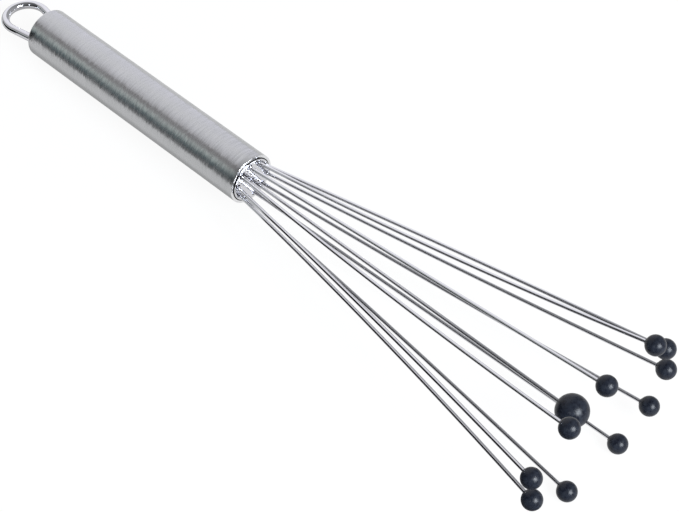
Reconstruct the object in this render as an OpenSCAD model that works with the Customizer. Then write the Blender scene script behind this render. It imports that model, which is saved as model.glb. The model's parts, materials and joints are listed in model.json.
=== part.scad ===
// Ball whisk: a steel tube handle with a hanging loop, eleven springy wires and a ball on each wire.
// It lies on a table: the rear end of the handle and the two lowest balls touch the floor, z = 0.

/* [Handle] */
// Outer diameter of the handle tube
handle_d = 18; // [14:0.5:30]
// Length of the handle tube
handle_len = 103; // [70:1:140]
// Wall of the handle tube
handle_wall = 1; // [0.6:0.1:1.6]
// Rounding of the edges of the tube's two ends
rim_round = 0.2; // [0.1:0.05:0.3]
// Thickness of the cap that closes the rear end
cap_t = 3; // [2:0.5:6]
// Height that the rear cap bulges out
cap_bulge = 0.4; // [0.2:0.1:1]

/* [Hanging loop] */
// Diameter of the bent rod
rod_d = 2.9; // [2:0.1:4]
// Radius of the bend, at the middle of the rod
loop_r = 7.4; // [5:0.1:8]
// Distance of the bend's centre behind the handle
loop_reach = 11.6; // [9:0.1:20]
// How far each leg leans in towards the cap, in degrees
leg_lean = 10; // [4:1:18]
// How far the loop stands to the left of the axis, seen from behind
loop_shift = -0.3; // [-1:0.1:1]

/* [Wire holder] */
// Length of the plug that holds the wires
holder_len = 8; // [6:0.5:14]
// How far the plug stands out of the tube
holder_proud = 0.4; // [0.2:0.1:1]
// Rounding of the plug's front edge
holder_round = 0.7; // [0.3:0.1:1.2]
// Radius of the circle that the outer wires leave from
root_circle_r = 6.4; // [5:0.1:6.6]
// Depth of each wire's root below the plug's face
root_depth = 0.8; // [0.5:0.1:1.2]

/* [Wires] */
// Diameter of a wire
wire_d = 1.2; // [1:0.1:1.6]
// Distance from the handle's front rim to the ring of outer balls
ring_reach = 144; // [110:1:190]
// Mean radius of the ring of outer balls
ring_r = 28; // [24:0.5:36]
// Distance from the handle's front rim to the centre ball
centre_reach = 134; // [100:1:139]
// How far an outer wire can spring in, in degrees
spring_in = 4; // [2:0.5:5]
// How far an outer wire can spring out, in degrees
spring_out = 8; // [4:0.5:12]

/* [Balls] */
// Diameter of an outer ball
ball_d = 6.4; // [5:0.1:8]
// Diameter of the centre ball
centre_ball_d = 10.4; // [8:0.1:13]

/* [Hidden] */
$fn = 96;
// Steps in a full turn of a wire's wide arc
bend_steps = 1800;
wires = 10;

// The wires are bent by hand: how far each ball is turned round from its own hole, in degrees
turned = [0.5, -5, -18, -3, 26, 19, 9, -3, -20, -5];
// How much further from the axis than the mean each ball stands, in hundredths of the mean
spread = [-14, 18, 7, -21, -18, 9, 15, 11, 5, -22];
// How far the middle of each wire is bowed, in thousandths of the ring's distance
bowed = [8, 8, 9, 4, 0, 8, 4, 3, 10, 0];
// Which way each wire is bowed, turned round from outwards, in degrees
bow_turn = [90, 180, 180, 180, 0, 180, 180, 0, 180, 0];
// The two outer balls, counted from 0, that the whisk rests on
rest_a = 3;
rest_b = 4;

handle_r = handle_d / 2;
rod_r = rod_d / 2;
wire_r = wire_d / 2;
ball_r = ball_d / 2;
centre_ball_r = centre_ball_d / 2;

// Clearances of the fits
seat_gap = 0.05;
socket_gap = 0.1;
wire_gap = 0.03;
ball_end_gap = 0.1;
root_bead = 0.05;
// Small overlap that makes a cut run clear through a face
cut = 0.5;
// Room in a socket's mouth beyond the steepest wire, in degrees
mouth_room = 2;
// The loop's legs are a hair thicker than its bend, and lap over its ends
leg_swell = 0.02;
leg_lap = 0.3;

bore_r = handle_r - handle_wall;
insert_r = bore_r - seat_gap;
root_r = wire_r + root_bead;
socket_r = root_r + socket_gap;
steepest = atan((ring_radius(max(spread)) - root_circle_r) / ring_reach) + spring_out + mouth_room;
mouth_r = socket_r + root_depth * tan(steepest);
leg_foot = (loop_r - loop_reach * sin(leg_lean)) / cos(leg_lean);
leg_len = (loop_reach - loop_r * sin(leg_lean)) / cos(leg_lean);
face_x = holder_proud;
root_x = face_x - root_depth;

// Points on the axis run along x, from the front rim (0) towards the balls
function ring_dir(a) = [0, cos(a), sin(a)];
function hole_turn(i) = 360 / wires * i;
function ball_turn(i) = hole_turn(i) + turned[i];
function root_at(i) = [root_x, 0, 0] + root_circle_r * ring_dir(hole_turn(i));
function ring_radius(more) = ring_r * (1 + more / 100);
function ball_at(i) = [ring_reach, 0, 0] + ring_radius(spread[i]) * ring_dir(ball_turn(i));

// Roll that brings the two resting balls level, below the axis
rest_edge = ball_at(rest_b) - ball_at(rest_a);
roll = 270 - atan2(-rest_edge[1], rest_edge[2]);
function rolled(p) = [p[0], p[1] * cos(roll) - p[2] * sin(roll), p[1] * sin(roll) + p[2] * cos(roll)];
rest_drop = -rolled(ball_at(rest_a))[2];

// Tilt of the axis when the rear rim and those balls touch the floor
rear_x = rim_round - handle_len;
rear_drop = handle_r - rim_round;
rest_run = ring_reach - rear_x;
tilt = atan((rest_drop - rear_drop) / rest_run)
     + asin((ball_r - rim_round) / norm([rest_run, rest_drop - rear_drop]));
function tilted(p) = [p[0] * cos(tilt) - p[2] * sin(tilt), p[1], p[0] * sin(tilt) + p[2] * cos(tilt)];
function placed(i) = tilted(rolled(ball_at(i)));

// The origin is at the middle of the footprint, on the floor
loop_end_x = -handle_len - loop_reach - loop_r;
front_x = max([for (i = [0:wires - 1]) placed(i)[0]]) + ball_r;
back_x = tilted([loop_end_x, 0, 0])[0] - rod_r;
left_y = max([for (i = [0:wires - 1]) placed(i)[1]]) + ball_r;
right_y = min([for (i = [0:wires - 1]) placed(i)[1]]) - ball_r;
floor_z = tilted([rear_x, 0, -rear_drop])[2] - rim_round;

steel = [0.74, 0.74, 0.75];
brushed = [0.62, 0.63, 0.64];
navy = [0.12, 0.13, 0.17];

// Lays the whisk, drawn along x with its front rim at 0, down on the floor
module laid_down() {
    translate([-(front_x + back_x) / 2, -(left_y + right_y) / 2, -floor_z])
        rotate([0, -tilt, 0])
            children();
}

// Turns what is drawn up z so that it runs from one point to another
module along(from, to) {
    v = to - from;
    translate(from)
        rotate([0, acos(v[2] / norm(v)), atan2(v[1], v[0])])
            children();
}

// Turns what is drawn up z so that it runs forwards along the whisk's axis
module forwards(x = 0) {
    translate([x, 0, 0])
        rotate([0, 90, 0])
            children();
}

// Plain tube, cut square, with the edges of both ends rounded
module handle_tube() {
    color(brushed)
        laid_down()
            forwards(-handle_len)
                rotate_extrude() {
                    translate([bore_r, rim_round])
                        square([handle_wall, handle_len - 2 * rim_round]);
                    translate([bore_r + rim_round, 0])
                        square([handle_wall - 2 * rim_round, handle_len]);
                    for (x = [bore_r + rim_round, rear_drop], y = [rim_round, handle_len - rim_round])
                        translate([x, y])
                            circle(r = rim_round, $fn = 32);
                }
}

// Disc pressed into the rear end, bulging a little, with two holes for the loop's legs
module end_cap() {
    dome_r = (insert_r * insert_r + cap_bulge * cap_bulge) / (2 * cap_bulge);
    color(steel)
        laid_down()
            difference() {
                intersection() {
                    forwards(rear_x - cap_bulge - cut)
                        cylinder(r = insert_r, h = cap_bulge + cut + cap_t);
                    translate([rear_x - cap_bulge + dome_r, 0, 0])
                        sphere(r = dome_r);
                }
                loop_legs(rod_r + seat_gap, cap_t + handle_wall + cut);
            }
}

// The two straight legs, lapping the bend and run on forwards of the handle's rear end
module loop_legs(r, run_on) {
    for (side = [-1, 1])
        translate([-handle_len, loop_shift + side * leg_foot, 0])
            rotate([0, 90, -side * leg_lean])
                translate([0, 0, -leg_len - leg_lap])
                    cylinder(r = r, h = leg_lap + leg_len + run_on);
}

// Round rod bent to a loop, its legs through the rear cap
module hanging_loop() {
    color(steel)
        laid_down() {
            loop_legs(rod_r + leg_swell, cap_t + handle_wall);
            translate([-handle_len - loop_reach, loop_shift, 0])
                rotate([0, 0, 90 - leg_lean])
                    rotate_extrude(angle = 180 + 2 * leg_lean)
                        translate([loop_r, 0])
                            circle(r = rod_r, $fn = 48);
        }
}

// Hole in the holder's face with a flared mouth, drawn up z from the root's centre
module socket() {
    translate([0, 0, -root_r - socket_gap])
        cylinder(r = socket_r, h = root_r + socket_gap + root_depth + cut);
    cylinder(r1 = socket_r, r2 = mouth_r, h = root_depth);
    translate([0, 0, root_depth])
        cylinder(r = mouth_r, h = cut);
}

// Polished plug in the front end, with a socket for each wire's root
module wire_holder() {
    color(steel)
        laid_down()
            difference() {
                forwards(face_x - holder_len)
                    rotate_extrude() {
                        square([insert_r - holder_round, holder_len]);
                        square([insert_r, holder_len - holder_round]);
                        translate([insert_r - holder_round, holder_len - holder_round])
                            circle(r = holder_round, $fn = 48);
                    }
                forwards(root_x)
                    socket();
                for (i = [0:wires - 1])
                    translate(rolled(root_at(i)))
                        forwards()
                            socket();
            }
}

// The arc of a wire that bows by a given height over a given span
function bend_r(span, bow) = (span * span / 4 + bow * bow) / (2 * bow);
function half_bend(span, bow) = bow == 0 ? 0 : asin(span / 2 / bend_r(span, bow));

// Round rod drawn up z, straight or with its middle bowed towards +x, that runs on past its span
module rod(span, bow, run_on) {
    if (bow == 0)
        cylinder(r = wire_r, h = span + run_on);
    else
        translate([bow - bend_r(span, bow), 0, span / 2])
            rotate([90, 0, 0])
                rotate([0, 0, -half_bend(span, bow)])
                    rotate_extrude(angle = half_bend(span, bow) * (2 + 2 * run_on / span), $fn = bend_steps)
                        translate([bend_r(span, bow), 0])
                            circle(r = wire_r, $fn = 48);
}

// Spring wire with a rounded root, running into its ball; facing is the way round that it bows
module wire(root, ball, bow = 0, facing = 0) {
    color(steel)
        laid_down()
            along(root, ball)
                rotate([0, 0, facing + 90]) {
                    sphere(r = root_r, $fn = 48);
                    rod(norm(ball - root), bow, wire_r);
                }
}

// Ball with a blind hole that takes the end of its wire
module ball_on(root, ball, r, bow = 0, facing = 0) {
    color(navy)
        laid_down()
            along(root, ball)
                rotate([0, 0, facing + 90])
                    translate([0, 0, norm(ball - root)])
                        difference() {
                            sphere(r = r);
                            rotate([0, -half_bend(norm(ball - root), bow), 0])
                                translate([0, 0, -r - cut])
                                    cylinder(r = wire_r + wire_gap, h = r + cut + wire_r + ball_end_gap);
                        }
}

function bow_of(i) = ring_reach * bowed[i] / 1000;
function facing_of(i) = roll + ball_turn(i) + bow_turn[i];

module outer_wire(i) {
    wire(rolled(root_at(i)), rolled(ball_at(i)), bow_of(i), facing_of(i));
}

module outer_ball(i) {
    ball_on(rolled(root_at(i)), rolled(ball_at(i)), ball_r, bow_of(i), facing_of(i));
}

module centre_wire() {
    wire([root_x, 0, 0], [centre_reach, 0, 0]);
}

module centre_ball() {
    ball_on([root_x, 0, 0], [centre_reach, 0, 0], centre_ball_r);
}

handle_tube();
end_cap();
hanging_loop();
wire_holder();
centre_wire();
centre_ball();
for (i = [0:wires - 1]) outer_wire(i);
for (i = [0:wires - 1]) outer_ball(i);
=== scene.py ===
import json
import math

import bpy
import bmesh
from mathutils import Matrix, Vector


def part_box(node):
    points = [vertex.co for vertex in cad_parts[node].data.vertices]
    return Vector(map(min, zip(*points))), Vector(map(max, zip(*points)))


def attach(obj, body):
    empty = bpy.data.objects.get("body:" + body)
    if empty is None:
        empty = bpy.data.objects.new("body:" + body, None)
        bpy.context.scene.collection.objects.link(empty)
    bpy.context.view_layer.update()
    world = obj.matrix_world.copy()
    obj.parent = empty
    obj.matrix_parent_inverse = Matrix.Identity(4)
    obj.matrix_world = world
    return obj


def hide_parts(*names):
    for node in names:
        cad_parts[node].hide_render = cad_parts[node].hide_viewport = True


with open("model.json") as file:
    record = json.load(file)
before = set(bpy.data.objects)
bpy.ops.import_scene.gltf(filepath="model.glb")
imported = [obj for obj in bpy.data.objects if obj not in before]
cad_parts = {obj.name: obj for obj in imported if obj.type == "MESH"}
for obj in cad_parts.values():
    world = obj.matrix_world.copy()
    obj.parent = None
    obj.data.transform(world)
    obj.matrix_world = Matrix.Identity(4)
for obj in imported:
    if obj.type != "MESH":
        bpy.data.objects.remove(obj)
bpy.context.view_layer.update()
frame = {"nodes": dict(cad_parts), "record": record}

scene = bpy.context.scene
scene.view_settings.view_transform = "Standard"

# The camera stands over the balls' end of the whisk and looks down on it, from its front right.
# A long lens, as for a packshot; the whisk's axis runs down across the frame.
LENS = 91.9
SENSOR = 36
AIM = Vector((0.0304, -0.0029, 0.0149))
DISTANCE = 0.5455
ELEVATION = math.radians(49.60)
AZIMUTH = math.radians(-49.91)
ROLL = math.radians(5.21)
towards = Vector((
    math.cos(ELEVATION) * math.cos(AZIMUTH),
    math.cos(ELEVATION) * math.sin(AZIMUTH),
    math.sin(ELEVATION),
))
camera = bpy.data.objects.new("camera", bpy.data.cameras.new("camera"))
camera.data.lens = LENS
camera.data.sensor_width = SENSOR
camera.data.clip_start = 0.01
camera.data.clip_end = 20
level = (-towards).to_track_quat("-Z", "Y").to_matrix().to_4x4()
camera.matrix_world = Matrix.Translation(AIM + DISTANCE * towards) @ level @ Matrix.Rotation(ROLL, 4, "Z")
scene.collection.objects.link(camera)
scene.camera = camera


# The floor is a wide sheet of white paper. Seen directly it glows nearly plain white, and keeps enough of its own
# shade to hold the whisk's soft shadow. The steel sees it grey, with a painted shadow under the handle, and black
# towards the front and in front of the wires, which gives them their black lower edge.
class Value:
    """A socket that carries a number; + - * / on it add Math nodes."""

    def __init__(self, net, socket):
        self.net, self.socket = net, socket

    def maths(self, operation, first, second=0.0):
        node = self.net.add("ShaderNodeMath", {"operation": operation}, {0: first, 1: second})
        return Value(self.net, node.outputs[0])

    def __add__(self, other):
        return self.maths("ADD", self, other)

    def __sub__(self, other):
        return self.maths("SUBTRACT", self, other)

    def __rsub__(self, other):
        return self.maths("SUBTRACT", other, self)

    def __mul__(self, other):
        return self.maths("MULTIPLY", self, other)

    def __truediv__(self, other):
        return self.maths("DIVIDE", self, other)

    __radd__ = __add__
    __rmul__ = __mul__

    def ease(self, low, high):
        """Goes smoothly from 0 to 1 as the value goes from low to high."""
        settings = {"interpolation_type": "SMOOTHSTEP"}
        node = self.net.add("ShaderNodeMapRange", settings, {"Value": self, "From Min": low, "From Max": high})
        return Value(self.net, node.outputs["Result"])


class Net:
    """A node tree that is filled by one method."""

    def __init__(self, tree):
        self.tree = tree

    def add(self, kind, settings=None, sockets=None):
        """Adds a node, makes its settings, then fills its sockets with values or links."""
        node = self.tree.nodes.new(kind)
        for name, setting in (settings or {}).items():
            if name == "stops":
                ramp = node.color_ramp.elements
                while len(ramp) < len(setting):
                    ramp.new(0.5)
                for element, (place, colour) in zip(ramp, setting):
                    element.position = place
                    element.color = (*colour, 1)
            else:
                setattr(node, name, setting)
        for name, value in (sockets or {}).items():
            if isinstance(value, Value):
                value = value.socket
            if isinstance(value, bpy.types.Node):
                value = value.outputs[0]
            if isinstance(value, bpy.types.NodeSocket):
                self.tree.links.new(value, node.inputs[name])
            else:
                node.inputs[name].default_value = value
        return node

    def number(self, kind, settings=None, sockets=None, output=0):
        """Adds a node and gives one of its outputs as a number to reckon with."""
        return Value(self, self.add(kind, settings, sockets).outputs[output])

    def noise(self, place, scale, detail=2.0, roughness=0.5):
        """Noise stretched by a scale for each axis of the place, per metre."""
        spread = self.add("ShaderNodeMapping", {"vector_type": "POINT"}, {"Vector": place, "Scale": scale})
        return self.number("ShaderNodeTexNoise", None, {
            "Vector": spread, "Scale": 1.0, "Detail": detail, "Roughness": roughness,
        })

    def blend(self, amount, first, second):
        """Mixes two colours."""
        node = self.add("ShaderNodeMix", {"data_type": "RGBA"}, {0: amount})
        for name, colour in (("A", first), ("B", second)):
            socket = next(s for s in node.inputs if s.name == name and s.type == "RGBA")
            if isinstance(colour, bpy.types.NodeSocket):
                self.tree.links.new(colour, socket)
            else:
                socket.default_value = (*colour, 1)
        return next(s for s in node.outputs if s.type == "RGBA")


def new_material(name):
    """A material with an empty tree, to be closed by its surface."""
    material = bpy.data.materials.new(name)
    material.use_nodes = True
    material.node_tree.nodes.clear()
    return material, Net(material.node_tree)


FLOOR_SIZE = 12
FLOOR_SHADE = (0.92, 0.92, 0.92, 1)
GLOW = 0.92
GLOW_IN_STEEL = 0.74
DARK_IN_STEEL = 0.1
SHARE_UNDER_HANDLE = 0.4
FRONT_EDGE = (-0.095, -0.045)
WIRES_FROM = (0.0, 0.02)
WIRES_FRONT = (-0.024, -0.012)
HANDLE_TO = (-0.014, -0.010)
UNDER_HANDLE = (-0.018, -0.009)
BEHIND_HANDLE = (0.004, 0.014)
bpy.ops.mesh.primitive_plane_add(size=FLOOR_SIZE)
floor = bpy.context.object
floor.name = "floor"
paper, net = new_material("white_paper")
rays = net.add("ShaderNodeLightPath")
mirrored = Value(net, rays.outputs["Is Glossy Ray"])
seen = mirrored + rays.outputs["Is Camera Ray"] + rays.outputs["Is Transmission Ray"]
matt = net.add("ShaderNodeBsdfDiffuse", None, {"Color": FLOOR_SHADE})
parts = net.add("ShaderNodeSeparateXYZ", None, {0: net.add("ShaderNodeTexCoord").outputs["Object"]})
backwards = Value(net, parts.outputs["Y"])
forwards = Value(net, parts.outputs["X"])
by_wires = forwards.ease(*WIRES_FROM) * (1 - backwards.ease(*WIRES_FRONT))
# Painted shadow of the handle on the floor, as the steel sees it in reflections.
painted_handle_shadow = (1 - forwards.ease(*HANDLE_TO)) * backwards.ease(*UNDER_HANDLE) * (1 - backwards.ease(*BEHIND_HANDLE))
in_steel = DARK_IN_STEEL + (GLOW_IN_STEEL - DARK_IN_STEEL) * backwards.ease(*FRONT_EDGE) * (1 - by_wires)
in_steel = in_steel * (1 - SHARE_UNDER_HANDLE * painted_handle_shadow)
shade = net.blend(mirrored * (1 - in_steel), (1, 1, 1), (0, 0, 0))
glow = net.add("ShaderNodeEmission", None, {"Color": shade, "Strength": 1.0})
sheet = net.add("ShaderNodeMixShader", None, {0: seen * GLOW, 1: matt, 2: glow})
net.add("ShaderNodeOutputMaterial", None, {"Surface": sheet})
floor.data.materials.append(paper)

# The studio, as reflections show it: beyond the loop's end a white ceiling comes down behind the whisk, with strips
# of shade and light before it, and elsewhere there is a grey room. Both go by the angle round the X axis, in half
# turns from the floor in front. Matt surfaces are lit by a plain white fill.
STRIPS = (
    (0.000, (0.110, 0.130, 0.140)),
    (0.085, (0.160, 0.200, 0.210)),
    (0.135, (0.440, 0.500, 0.490)),
    (0.210, (0.560, 0.590, 0.580)),
    (0.250, (0.340, 0.335, 0.340)),
    (0.325, (0.290, 0.280, 0.285)),
    (0.375, (0.640, 0.635, 0.660)),
    (0.500, (0.860, 0.860, 0.900)),
    (0.640, (0.950, 0.950, 0.980)),
    (1.000, (0.960, 0.960, 1.050)),
)
ROOM = (
    (0.00, (0.038, 0.039, 0.041)),
    (0.18, (0.055, 0.057, 0.060)),
    (0.34, (0.125, 0.127, 0.132)),
    (0.56, (0.240, 0.243, 0.250)),
    (0.80, (0.380, 0.384, 0.395)),
)
ROOM_FROM = (-0.48, -0.42)
FILL = 0.55
FILL_TINT = (0.97, 0.98, 1, 1)
world = bpy.data.worlds.new("studio")
world.use_nodes = True
world.node_tree.nodes.clear()
scene.world = world
net = Net(world.node_tree)
parts = net.add("ShaderNodeSeparateXYZ", None, {0: net.add("ShaderNodeTexCoord").outputs["Generated"]})
front = Value(net, parts.outputs["Y"]) * -1.0
round_x = front.maths("ARCTAN2", parts.outputs["Z"], front) / math.pi
forwards = Value(net, parts.outputs["X"])
strips = net.add("ShaderNodeValToRGB", {"stops": STRIPS}, {"Fac": round_x}).outputs["Color"]
room = net.add("ShaderNodeValToRGB", {"stops": ROOM}, {"Fac": round_x}).outputs["Color"]
strips = net.blend(forwards.ease(*ROOM_FROM), strips, room)
rays = net.add("ShaderNodeLightPath")
studio = net.add("ShaderNodeBackground", None, {"Color": strips, "Strength": 1.0})
fill = net.add("ShaderNodeBackground", None, {"Color": FILL_TINT, "Strength": FILL})
backdrop = net.add("ShaderNodeBackground", None, {"Color": (1, 1, 1, 1), "Strength": 1.0})
lit = net.add("ShaderNodeMixShader", None, {0: rays.outputs["Is Glossy Ray"], 1: fill, 2: studio})
shown = net.add("ShaderNodeMixShader", None, {0: rays.outputs["Is Camera Ray"], 1: lit, 2: backdrop})
net.add("ShaderNodeOutputWorld", None, {"Surface": shown})

# Two cards of black felt stand in front and show in reflections only. They draw the black line along the lower side
# of the wires and of the loop. Each is given by its two ends: x, y and height.
CARDS = {
    "card_by_wires": ((-0.012, -0.022, 0.035), (0.140, -0.075, 0.070)),
    "card_by_loop": ((-0.200, -0.028, 0.019), (-0.132, -0.028, 0.019)),
}
FELT = (0.004, 0.004, 0.005, 1)
black, net = new_material("black_card")
felt = net.add("ShaderNodeBsdfDiffuse", None, {"Color": FELT})
net.add("ShaderNodeOutputMaterial", None, {"Surface": felt})
for name, (left, right) in CARDS.items():
    sheet = bpy.data.meshes.new(name)
    sheet.from_pydata([(*left[:2], 0.0), (*right[:2], 0.0), right, left], [], [(0, 1, 2, 3)])
    sheet.materials.append(black)
    card = bpy.data.objects.new(name, sheet)
    scene.collection.objects.link(card)
    for rays_of in ("camera", "diffuse", "transmission", "volume_scatter", "shadow"):
        setattr(card, "visible_" + rays_of, False)

# Two softboxes: the larger, beyond the balls, gives each ball its main highlight, and the smaller stands to the left
# of the camera. Each is given by name, direction, distance, size, power and colour.
SOFTBOXES = (
    ("softbox_front", (0.806, -0.070, 0.585), 1.2, 0.65, 21.0, (0.87, 0.93, 1.0)),
    ("softbox_left", (0.25, -0.78, 0.57), 1.2, 0.14, 0.6, (0.90, 0.95, 1.0)),
)
for name, direction, reach, size, power, colour in SOFTBOXES:
    lamp = bpy.data.objects.new(name, bpy.data.lights.new(name, "AREA"))
    lamp.data.shape = "SQUARE"
    lamp.data.size = size
    lamp.data.energy = power
    lamp.data.color = colour
    out = Vector(direction).normalized()
    lamp.matrix_world = Matrix.Translation(out * reach + AIM) @ out.to_track_quat("Z", "Y").to_matrix().to_4x4()
    scene.collection.objects.link(lamp)

# The handle is a drawn stainless tube, cut square, its edges eased. It is brushed round its girth on a belt, so
# fine rings cover it and the bands that it reflects have combed edges. The cut ends are bright, and the bore is
# painted nearly black as shade.
WALL = 0.001
RIM_ROUND = 0.0002
AROUND = 192
LENGTHS = 24
RIM_STEPS = 6
COMBING = (1900, 180, 180)
SCUFFS = (1500, 110, 110)
HAIRLINES = (9000, 90, 90)
CLOUDS = (90, 130, 130)
LEAN = 0.22
NOD = 0.04
BRUSHED_DARK, BRUSHED_LIGHT = (0.50, 0.51, 0.51), (0.63, 0.63, 0.65)
CUT_END = (0.93, 0.93, 0.94)
SHADED = (0.03, 0.03, 0.035)
grip = next(m for m in frame["record"]["mounts"] if m["name"] == "grip")
heading = -Vector(grip["axis"])
tube_r = grip["dims"]["r_mm"] / 1000
half_len = grip["dims"]["length_mm"] / 2000 + RIM_ROUND
front_rim = Vector(grip["pos_m"]) + heading * half_len
tilt = math.atan2(heading.z, heading.x)
whisk_axis = Matrix.Translation(front_rim) @ Matrix.Rotation(-tilt, 4, "Y")


def arc(along, outwards, radius, start, end, steps):
    """Points (along, outwards) of an arc, its angles in degrees from the forward direction."""
    turns = [math.radians(start + (end - start) * i / steps) for i in range(steps + 1)]
    return [(along + radius * math.cos(t), outwards + radius * math.sin(t)) for t in turns]


def lathe(name, outline, around, place, closed=False):
    """Turns an outline of (along, outwards) points about X, keeps where each point was, and puts it in place."""
    mesh = bmesh.new()
    rings = []
    for along, outwards in outline:
        if outwards < 1e-7:
            rings.append([mesh.verts.new((along, 0, 0))])
            continue
        turns = [2 * math.pi * i / around for i in range(around)]
        rings.append([mesh.verts.new((along, outwards * math.cos(t), outwards * math.sin(t))) for t in turns])
    for ring, after in zip(rings, rings[1:] + rings[:1] if closed else rings[1:]):
        for i in range(around):
            j = (i + 1) % around
            corners = [ring[i % len(ring)], ring[j % len(ring)], after[j % len(after)], after[i % len(after)]]
            mesh.faces.new(list(dict.fromkeys(corners)))
    bmesh.ops.recalc_face_normals(mesh, faces=mesh.faces)
    data = bpy.data.meshes.new(name)
    mesh.to_mesh(data)
    mesh.free()
    turned = data.attributes.new("turned", "FLOAT_VECTOR", "POINT")
    for point, vertex in zip(turned.data, data.vertices):
        point.vector = vertex.co
    data.transform(place)
    data.shade_smooth()
    piece = bpy.data.objects.new(name, data)
    scene.collection.objects.link(piece)
    return piece


def off_axis(net, parts):
    """How far a place is from the tube's axis, given the place in three parts."""
    across = net.add("ShaderNodeCombineXYZ", None, {"Y": parts.outputs["Y"], "Z": parts.outputs["Z"]})
    return net.number("ShaderNodeVectorMath", {"operation": "LENGTH"}, {0: across}, "Value")


brushed, net = new_material("brushed_steel")
place = net.add("ShaderNodeAttribute", {"attribute_name": "turned"}).outputs["Vector"]
combing = net.noise(place, COMBING, 3.0, 0.6)
scuffs = net.noise(place, SCUFFS, 2.0, 0.6).ease(0.35, 0.65)
hairlines = net.noise(place, HAIRLINES, 2.0, 0.7)
clouds = net.noise(place, CLOUDS, 3.0)
normal = net.add("ShaderNodeNewGeometry").outputs["Normal"]
girthwise = net.add("ShaderNodeVectorMath", {"operation": "CROSS_PRODUCT"}, {0: normal, 1: heading})
leaned = net.add("ShaderNodeVectorMath", {"operation": "SCALE"}, {0: girthwise, "Scale": (combing - 0.5) * LEAN})
nodded = net.add("ShaderNodeVectorMath", {"operation": "SCALE"}, {0: heading, "Scale": (hairlines - 0.5) * NOD})
combed = net.add("ShaderNodeVectorMath", {"operation": "ADD"}, {0: leaned, 1: nodded})
combed = net.add("ShaderNodeVectorMath", {"operation": "ADD"}, {0: normal, 1: combed})
combed = net.add("ShaderNodeVectorMath", {"operation": "NORMALIZE"}, {0: combed})
tone = net.blend(hairlines * 0.5 + clouds * 0.5, BRUSHED_DARK, BRUSHED_LIGHT)
parts = net.add("ShaderNodeSeparateXYZ", None, {0: place})
# Painted shade: the inside of the bore is darkened to nearly black.
painted_bore_shade = 1 - off_axis(net, parts).ease(tube_r - WALL, tube_r - WALL * 0.75)
tone = net.blend(painted_bore_shade, tone, SHADED)
off_middle = net.number("ShaderNodeMath", {"operation": "ABSOLUTE"}, {0: Value(net, parts.outputs["X"]) + half_len})
cut = off_middle.ease(half_len - RIM_ROUND * 1.5, half_len - RIM_ROUND * 0.5)
tone = net.blend(cut * (1 - painted_bore_shade), tone, CUT_END)
steel = net.add("ShaderNodeBsdfPrincipled", None, {
    "Metallic": 1.0, "Base Color": tone, "Roughness": 0.12 + 0.06 * clouds + 0.16 * scuffs, "Normal": combed,
})
net.add("ShaderNodeOutputMaterial", None, {"Surface": steel})

length = 2 * half_len
inner = tube_r - WALL + RIM_ROUND
outer = tube_r - RIM_ROUND
tube = lathe(
    "handle_tube_brushed",
    arc(-RIM_ROUND, inner, RIM_ROUND, -90, 0, RIM_STEPS) + arc(-RIM_ROUND, outer, RIM_ROUND, 0, 90, RIM_STEPS)
    + [(-length * k / LENGTHS, tube_r) for k in range(1, LENGTHS)]
    + arc(RIM_ROUND - length, outer, RIM_ROUND, 90, 180, RIM_STEPS)
    + arc(RIM_ROUND - length, inner, RIM_ROUND, 180, 270, RIM_STEPS),
    AROUND, whisk_axis, closed=True,
)
tube.data.materials.append(brushed)
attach(tube, "handle")
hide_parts("handle_tube")

# The rear cap and the plug that holds the wires are turned from stainless bar, buffed to a mirror and pressed into
# the tube. A narrow groove stays round each, painted dark as shade.
GROOVE = (tube_r - WALL * 1.35, tube_r - WALL * 1.15)
POLISHED_DARK, POLISHED_LIGHT = (0.78, 0.78, 0.81), (0.88, 0.88, 0.91)
SMEARS = (300, 300, 300)
SCRATCHES = (300, 3000, 900)
FINE_BUMP = {"Strength": 0.05, "Distance": 0.00002}
polished, net = new_material("polished_steel")
place = net.add("ShaderNodeTexCoord").outputs["Object"]
smears = net.noise(place, SMEARS, 4.0)
scratches = net.noise(place, SCRATCHES)
bump = net.add("ShaderNodeBump", None, {**FINE_BUMP, "Height": scratches})
in_line = net.add(
    "ShaderNodeMapping", {"vector_type": "TEXTURE"},
    {"Vector": place, "Location": front_rim, "Rotation": (0, -tilt, 0)},
)
parts = net.add("ShaderNodeSeparateXYZ", None, {0: in_line})
# Painted shade: the plug's and cap's rims by the tube wall go nearly black.
painted_groove_shade = off_axis(net, parts).ease(*GROOVE)
tone = net.blend(smears, POLISHED_DARK, POLISHED_LIGHT)
tone = net.blend(painted_groove_shade, tone, SHADED)
steel = net.add("ShaderNodeBsdfPrincipled", None, {
    "Metallic": 1.0, "Base Color": tone, "Roughness": 0.04 + 0.08 * smears, "Normal": bump,
})
net.add("ShaderNodeOutputMaterial", None, {"Surface": steel})
for node in ("end_cap", "wire_holder"):
    frame["nodes"][node].data.materials.clear()
    frame["nodes"][node].data.materials.append(polished)

# The hanging loop is one round stainless rod, bent to a narrow U and pushed through the rear cap.
# The rod was drawn and tumbled, so it is bright all over with faint lines along it.
ROD_R = 0.00145
ROD_END = 0.0001
LOOP_R = 0.0074
LEG_LEAN = math.radians(10)
LEG_RUN_ON = 0.004
ROD_AROUND = 32
BEAD_RINGS = 12
BEND_STEPS = 48
ROD_LINES = 2500
SPOTS = (900, 900, 250)


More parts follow.
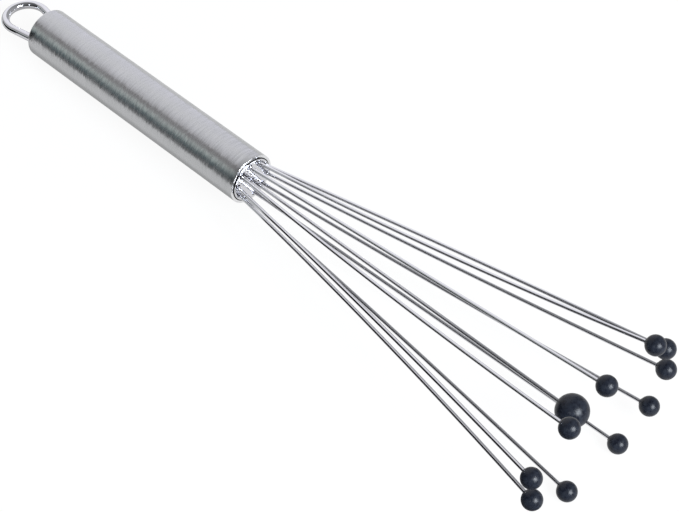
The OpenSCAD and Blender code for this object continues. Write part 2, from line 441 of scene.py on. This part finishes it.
def rod_tree():
    """Geometry Nodes that sweep a round rod along a curve, with a bead at its start if one is wanted."""
    tree = bpy.data.node_groups.new("drawn_rod", "GeometryNodeTree")
    sizes = (("Rod Radius", "NodeSocketFloat"), ("Bead Radius", "NodeSocketFloat"), ("Sides", "NodeSocketInt"),
             ("Finish", "NodeSocketMaterial"))
    tree.interface.new_socket("Geometry", in_out="INPUT", socket_type="NodeSocketGeometry")
    for name, kind in sizes:
        tree.interface.new_socket(name, in_out="INPUT", socket_type=kind)
    tree.interface.new_socket("Geometry", in_out="OUTPUT", socket_type="NodeSocketGeometry")
    net = Net(tree)
    given = net.add("NodeGroupInput")
    path = net.add("GeometryNodeSplineParameter")
    run = net.add("GeometryNodeStoreNamedAttribute", {"data_type": "FLOAT", "domain": "POINT"}, {
        "Geometry": given.outputs["Geometry"], "Name": "run", "Value": path.outputs["Length"],
    })
    circle = net.add("GeometryNodeCurvePrimitiveCircle", None, {
        "Resolution": given.outputs["Sides"], "Radius": given.outputs["Rod Radius"],
    })
    rounded = net.add("GeometryNodeStoreNamedAttribute", {"data_type": "FLOAT_VECTOR", "domain": "POINT"}, {
        "Geometry": circle, "Name": "girth", "Value": net.add("GeometryNodeInputPosition"),
    })
    rod = net.add("GeometryNodeCurveToMesh", None, {"Curve": run, "Profile Curve": rounded, "Fill Caps": True})
    smooth = net.add("GeometryNodeSetShadeSmooth", None, {"Geometry": rod})
    first = net.add("GeometryNodeSampleCurve", {"mode": "LENGTH"}, {"Curves": given.outputs["Geometry"]})
    ball = net.add("GeometryNodeMeshUVSphere", None, {
        "Segments": given.outputs["Sides"], "Rings": BEAD_RINGS, "Radius": given.outputs["Bead Radius"],
    })
    bead = net.add("GeometryNodeTransform", None, {"Geometry": ball, "Translation": first.outputs["Position"]})
    bead = net.add("GeometryNodeSetShadeSmooth", None, {"Geometry": bead})
    both = net.add("GeometryNodeJoinGeometry")
    tree.links.new(smooth.outputs[0], both.inputs[0])
    tree.links.new(bead.outputs[0], both.inputs[0])
    whole = net.add("GeometryNodeRealizeInstances", None, {"Geometry": both})
    dressed = net.add("GeometryNodeSetMaterial", None, {"Geometry": whole, "Material": given.outputs["Finish"]})
    net.add("NodeGroupOutput", None, {"Geometry": dressed})
    return tree


def draw_rod(name, points, rod_radius, bead_radius, finish):
    """Makes a rod that follows the points, as a plain mesh."""
    curve = bpy.data.curves.new(name + "_path", "CURVE")
    curve.dimensions = "3D"
    spline = curve.splines.new("POLY")
    spline.points.add(len(points) - 1)
    for point, place in zip(spline.points, points):
        point.co = (*place, 1)
    path = bpy.data.objects.new(name + "_path", curve)
    scene.collection.objects.link(path)
    sweep = path.modifiers.new("rod", "NODES")
    sweep.node_group = rod_nodes
    values = {"Rod Radius": rod_radius, "Bead Radius": bead_radius, "Sides": ROD_AROUND, "Finish": finish}
    for item in rod_nodes.interface.items_tree:
        if item.in_out == "INPUT" and item.name in values:
            sweep[item.identifier] = values[item.name]
    bpy.context.view_layer.update()
    mesh = bpy.data.meshes.new_from_object(path.evaluated_get(bpy.context.evaluated_depsgraph_get()))
    mesh.name = name
    bpy.data.objects.remove(path)
    piece = bpy.data.objects.new(name, mesh)
    scene.collection.objects.link(piece)
    return piece


def drawn_material(name, dark, light, fine):
    """Bright drawn steel: faint lines run along it, and its gloss varies a little."""
    material, net = new_material(name)
    girth = net.add("ShaderNodeAttribute", {"attribute_name": "girth"}).outputs["Vector"]
    run = net.number("ShaderNodeAttribute", {"attribute_name": "run"}, None, "Fac")
    parts = net.add("ShaderNodeSeparateXYZ", None, {0: girth})
    place = net.add("ShaderNodeCombineXYZ", None, {
        "X": parts.outputs["X"], "Y": parts.outputs["Y"], "Z": run,
    })
    lines = net.noise(place, (fine, fine, 40), 3.0)
    spots = net.noise(place, SPOTS, 2.0)
    bump = net.add("ShaderNodeBump", None, {**FINE_BUMP, "Height": lines})
    steel = net.add("ShaderNodeBsdfPrincipled", None, {
        "Metallic": 1.0, "Base Color": net.blend(lines * 0.6 + spots * 0.4, dark, light),
        "Roughness": 0.06 + 0.08 * spots, "Normal": bump,
    })
    net.add("ShaderNodeOutputMaterial", None, {"Surface": steel})
    return material


rod_nodes = rod_tree()
tumbled = drawn_material("tumbled_rod", (0.72, 0.72, 0.75), (0.84, 0.84, 0.87), ROD_LINES)
eye = next(m for m in frame["record"]["mounts"] if m["name"] == "hang_eye")
bend_centre = whisk_axis.inverted() @ Vector(eye["pos_m"])
turns = [math.pi / 2 - LEG_LEAN + (math.pi + 2 * LEG_LEAN) * i / BEND_STEPS for i in range(BEND_STEPS + 1)]
path = [bend_centre + LOOP_R * Vector((math.cos(t), math.sin(t), 0)) for t in turns]
leg_run = LEG_RUN_ON - length - path[0].x
foot = Vector((leg_run, -leg_run * math.tan(LEG_LEAN), 0))
path = [path[0] + foot] + path + [path[-1] + Vector((foot.x, -foot.y, 0))]
loop = draw_rod("hanging_loop_rod", [whisk_axis @ p for p in path], ROD_R, ROD_END, tumbled)
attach(loop, "handle")
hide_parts("hanging_loop")

# Eleven spring wires of bright drawn stainless, each held by its rounded root in a socket of the plug.
# They are set by hand, so most are bowed a little, and each springs on its own body.
WIRE_R = 0.0006
ROOT_R = 0.00065
WIRE_STEPS = 40
WIRE_LINES = 5000
OUTER_WIRES = 10
END_IN_BALL = 0.0006
BOWED = (8, 8, 9, 4, 0, 8, 4, 3, 10, 0)
BOW_TURN = (90, 180, 180, 180, 0, 180, 180, 0, 180, 0)
RING_REACH = 0.144
spring_steel = drawn_material("spring_wire", (0.74, 0.74, 0.77), (0.86, 0.86, 0.89), WIRE_LINES)
joints = {joint["child"]: joint for joint in frame["record"]["behaviour"]["joints"]}


def middle(node):
    """The middle of a node's box."""
    low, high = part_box(node)
    return (Vector(low) + Vector(high)) / 2


def wire_path(root, ball, bow, facing):
    """Points from the root to just past the ball's middle, bowed towards a side that is turned round from outwards."""
    outwards = ball - front_rim
    outwards = (outwards - heading * outwards.dot(heading)).normalized() if bow else heading
    side = outwards * math.cos(facing) + heading.cross(outwards) * math.sin(facing)
    last = 1 + END_IN_BALL / (ball - root).length
    steps = [last * i / WIRE_STEPS for i in range(WIRE_STEPS + 1)]
    return [root.lerp(ball, s) + 4 * s * (1 - s) * bow * side for s in steps]


def lay_wire(number):
    """The body, name and path of a wire and the middle of its ball; the centre wire is number 0."""
    body, kind, tail, bow, facing = "centre_spring", "centre", "", 0, 0
    if number:
        body, kind, tail = f"spring_{number}", "outer", f"_{number}"
        bow = BOWED[number - 1] / 1000 * RING_REACH
        facing = math.radians(BOW_TURN[number - 1])
    ball = middle(f"{kind}_ball{tail}")
    return body, kind, tail, wire_path(Vector(joints[body]["pos_m"]), ball, bow, facing), ball


for number in range(OUTER_WIRES + 1):
    body, kind, tail, path, _ = lay_wire(number)
    wire = draw_rod(f"{kind}_spring_wire{tail}", path, WIRE_R, ROOT_R, spring_steel)
    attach(wire, body)
    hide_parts(f"{kind}_wire{tail}")

# The balls are dark navy silicone, moulded on the wires' ends, with one larger ball on the centre wire.
# Each has a fine parting line in the plane of its wire, and a small lip where the wire goes in.
BALL_R = 0.0032
CENTRE_BALL_R = 0.0052
LIP = 0.00035
LIP_STEPS = 8
BALL_AROUND = 64
BALL_STEPS = 40
GRAIN = (1600, 1600, 1600)
BLOOMS = (620, 620, 620)
PARTING_LINE = (0.00002, 0.00009)
NAVY_DARK, NAVY_LIGHT = (0.004, 0.005, 0.010), (0.015, 0.019, 0.029)
silicone, net = new_material("navy_silicone")
place = net.add("ShaderNodeAttribute", {"attribute_name": "turned"}).outputs["Vector"]
grain = net.noise(place, GRAIN, 3.0)
blooms = net.noise(place, BLOOMS, 4.0, 0.65).ease(0.3, 0.7)
parts = net.add("ShaderNodeSeparateXYZ", None, {0: place})
off_line = net.number("ShaderNodeMath", {"operation": "ABSOLUTE"}, {0: parts.outputs["Z"]})
parting = 1 - off_line.ease(*PARTING_LINE)
height = grain * 0.5 + blooms * 0.5 + parting * 0.8
bump = net.add("ShaderNodeBump", None, {"Strength": 0.34, "Distance": 0.00006, "Height": height})
skin = net.add("ShaderNodeBsdfPrincipled", None, {
    "Base Color": net.blend(blooms, NAVY_DARK, NAVY_LIGHT),
    "Roughness": 0.22 + 0.16 * blooms, "Specular IOR Level": 0.3, "Normal": bump,
})
net.add("ShaderNodeOutputMaterial", None, {"Surface": skin})


def mould_ball(name, centre, wire_from, radius):
    """A ball turned about its wire's end, with a lip round the wire."""
    inwards = (wire_from - centre).normalized()
    entry = WIRE_R + LIP
    lip_at = math.sqrt(radius ** 2 - entry ** 2)
    stop = math.degrees(math.acos(lip_at / radius))
    shell = arc(0, 0, radius, 180, stop, BALL_STEPS)
    lip = arc(lip_at, WIRE_R + LIP / 2, LIP / 2, 90, -90, LIP_STEPS)
    outline = [(along, max(0.0, outwards)) for along, outwards in shell + lip[1:]] + [(-WIRE_R, WIRE_R), (-WIRE_R, 0)]
    place = Matrix.Translation(centre) @ inwards.to_track_quat("X", "Z").to_matrix().to_4x4()
    return lathe(name, outline, BALL_AROUND, place)


for number in range(OUTER_WIRES + 1):
    body, kind, tail, path, centre = lay_wire(number)
    radius = BALL_R if number else CENTRE_BALL_R
    ball = mould_ball(f"{kind}_silicone_ball{tail}", centre, path[-3], radius)
    ball.data.materials.append(silicone)
    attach(ball, body)
    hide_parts(f"{kind}_ball{tail}")
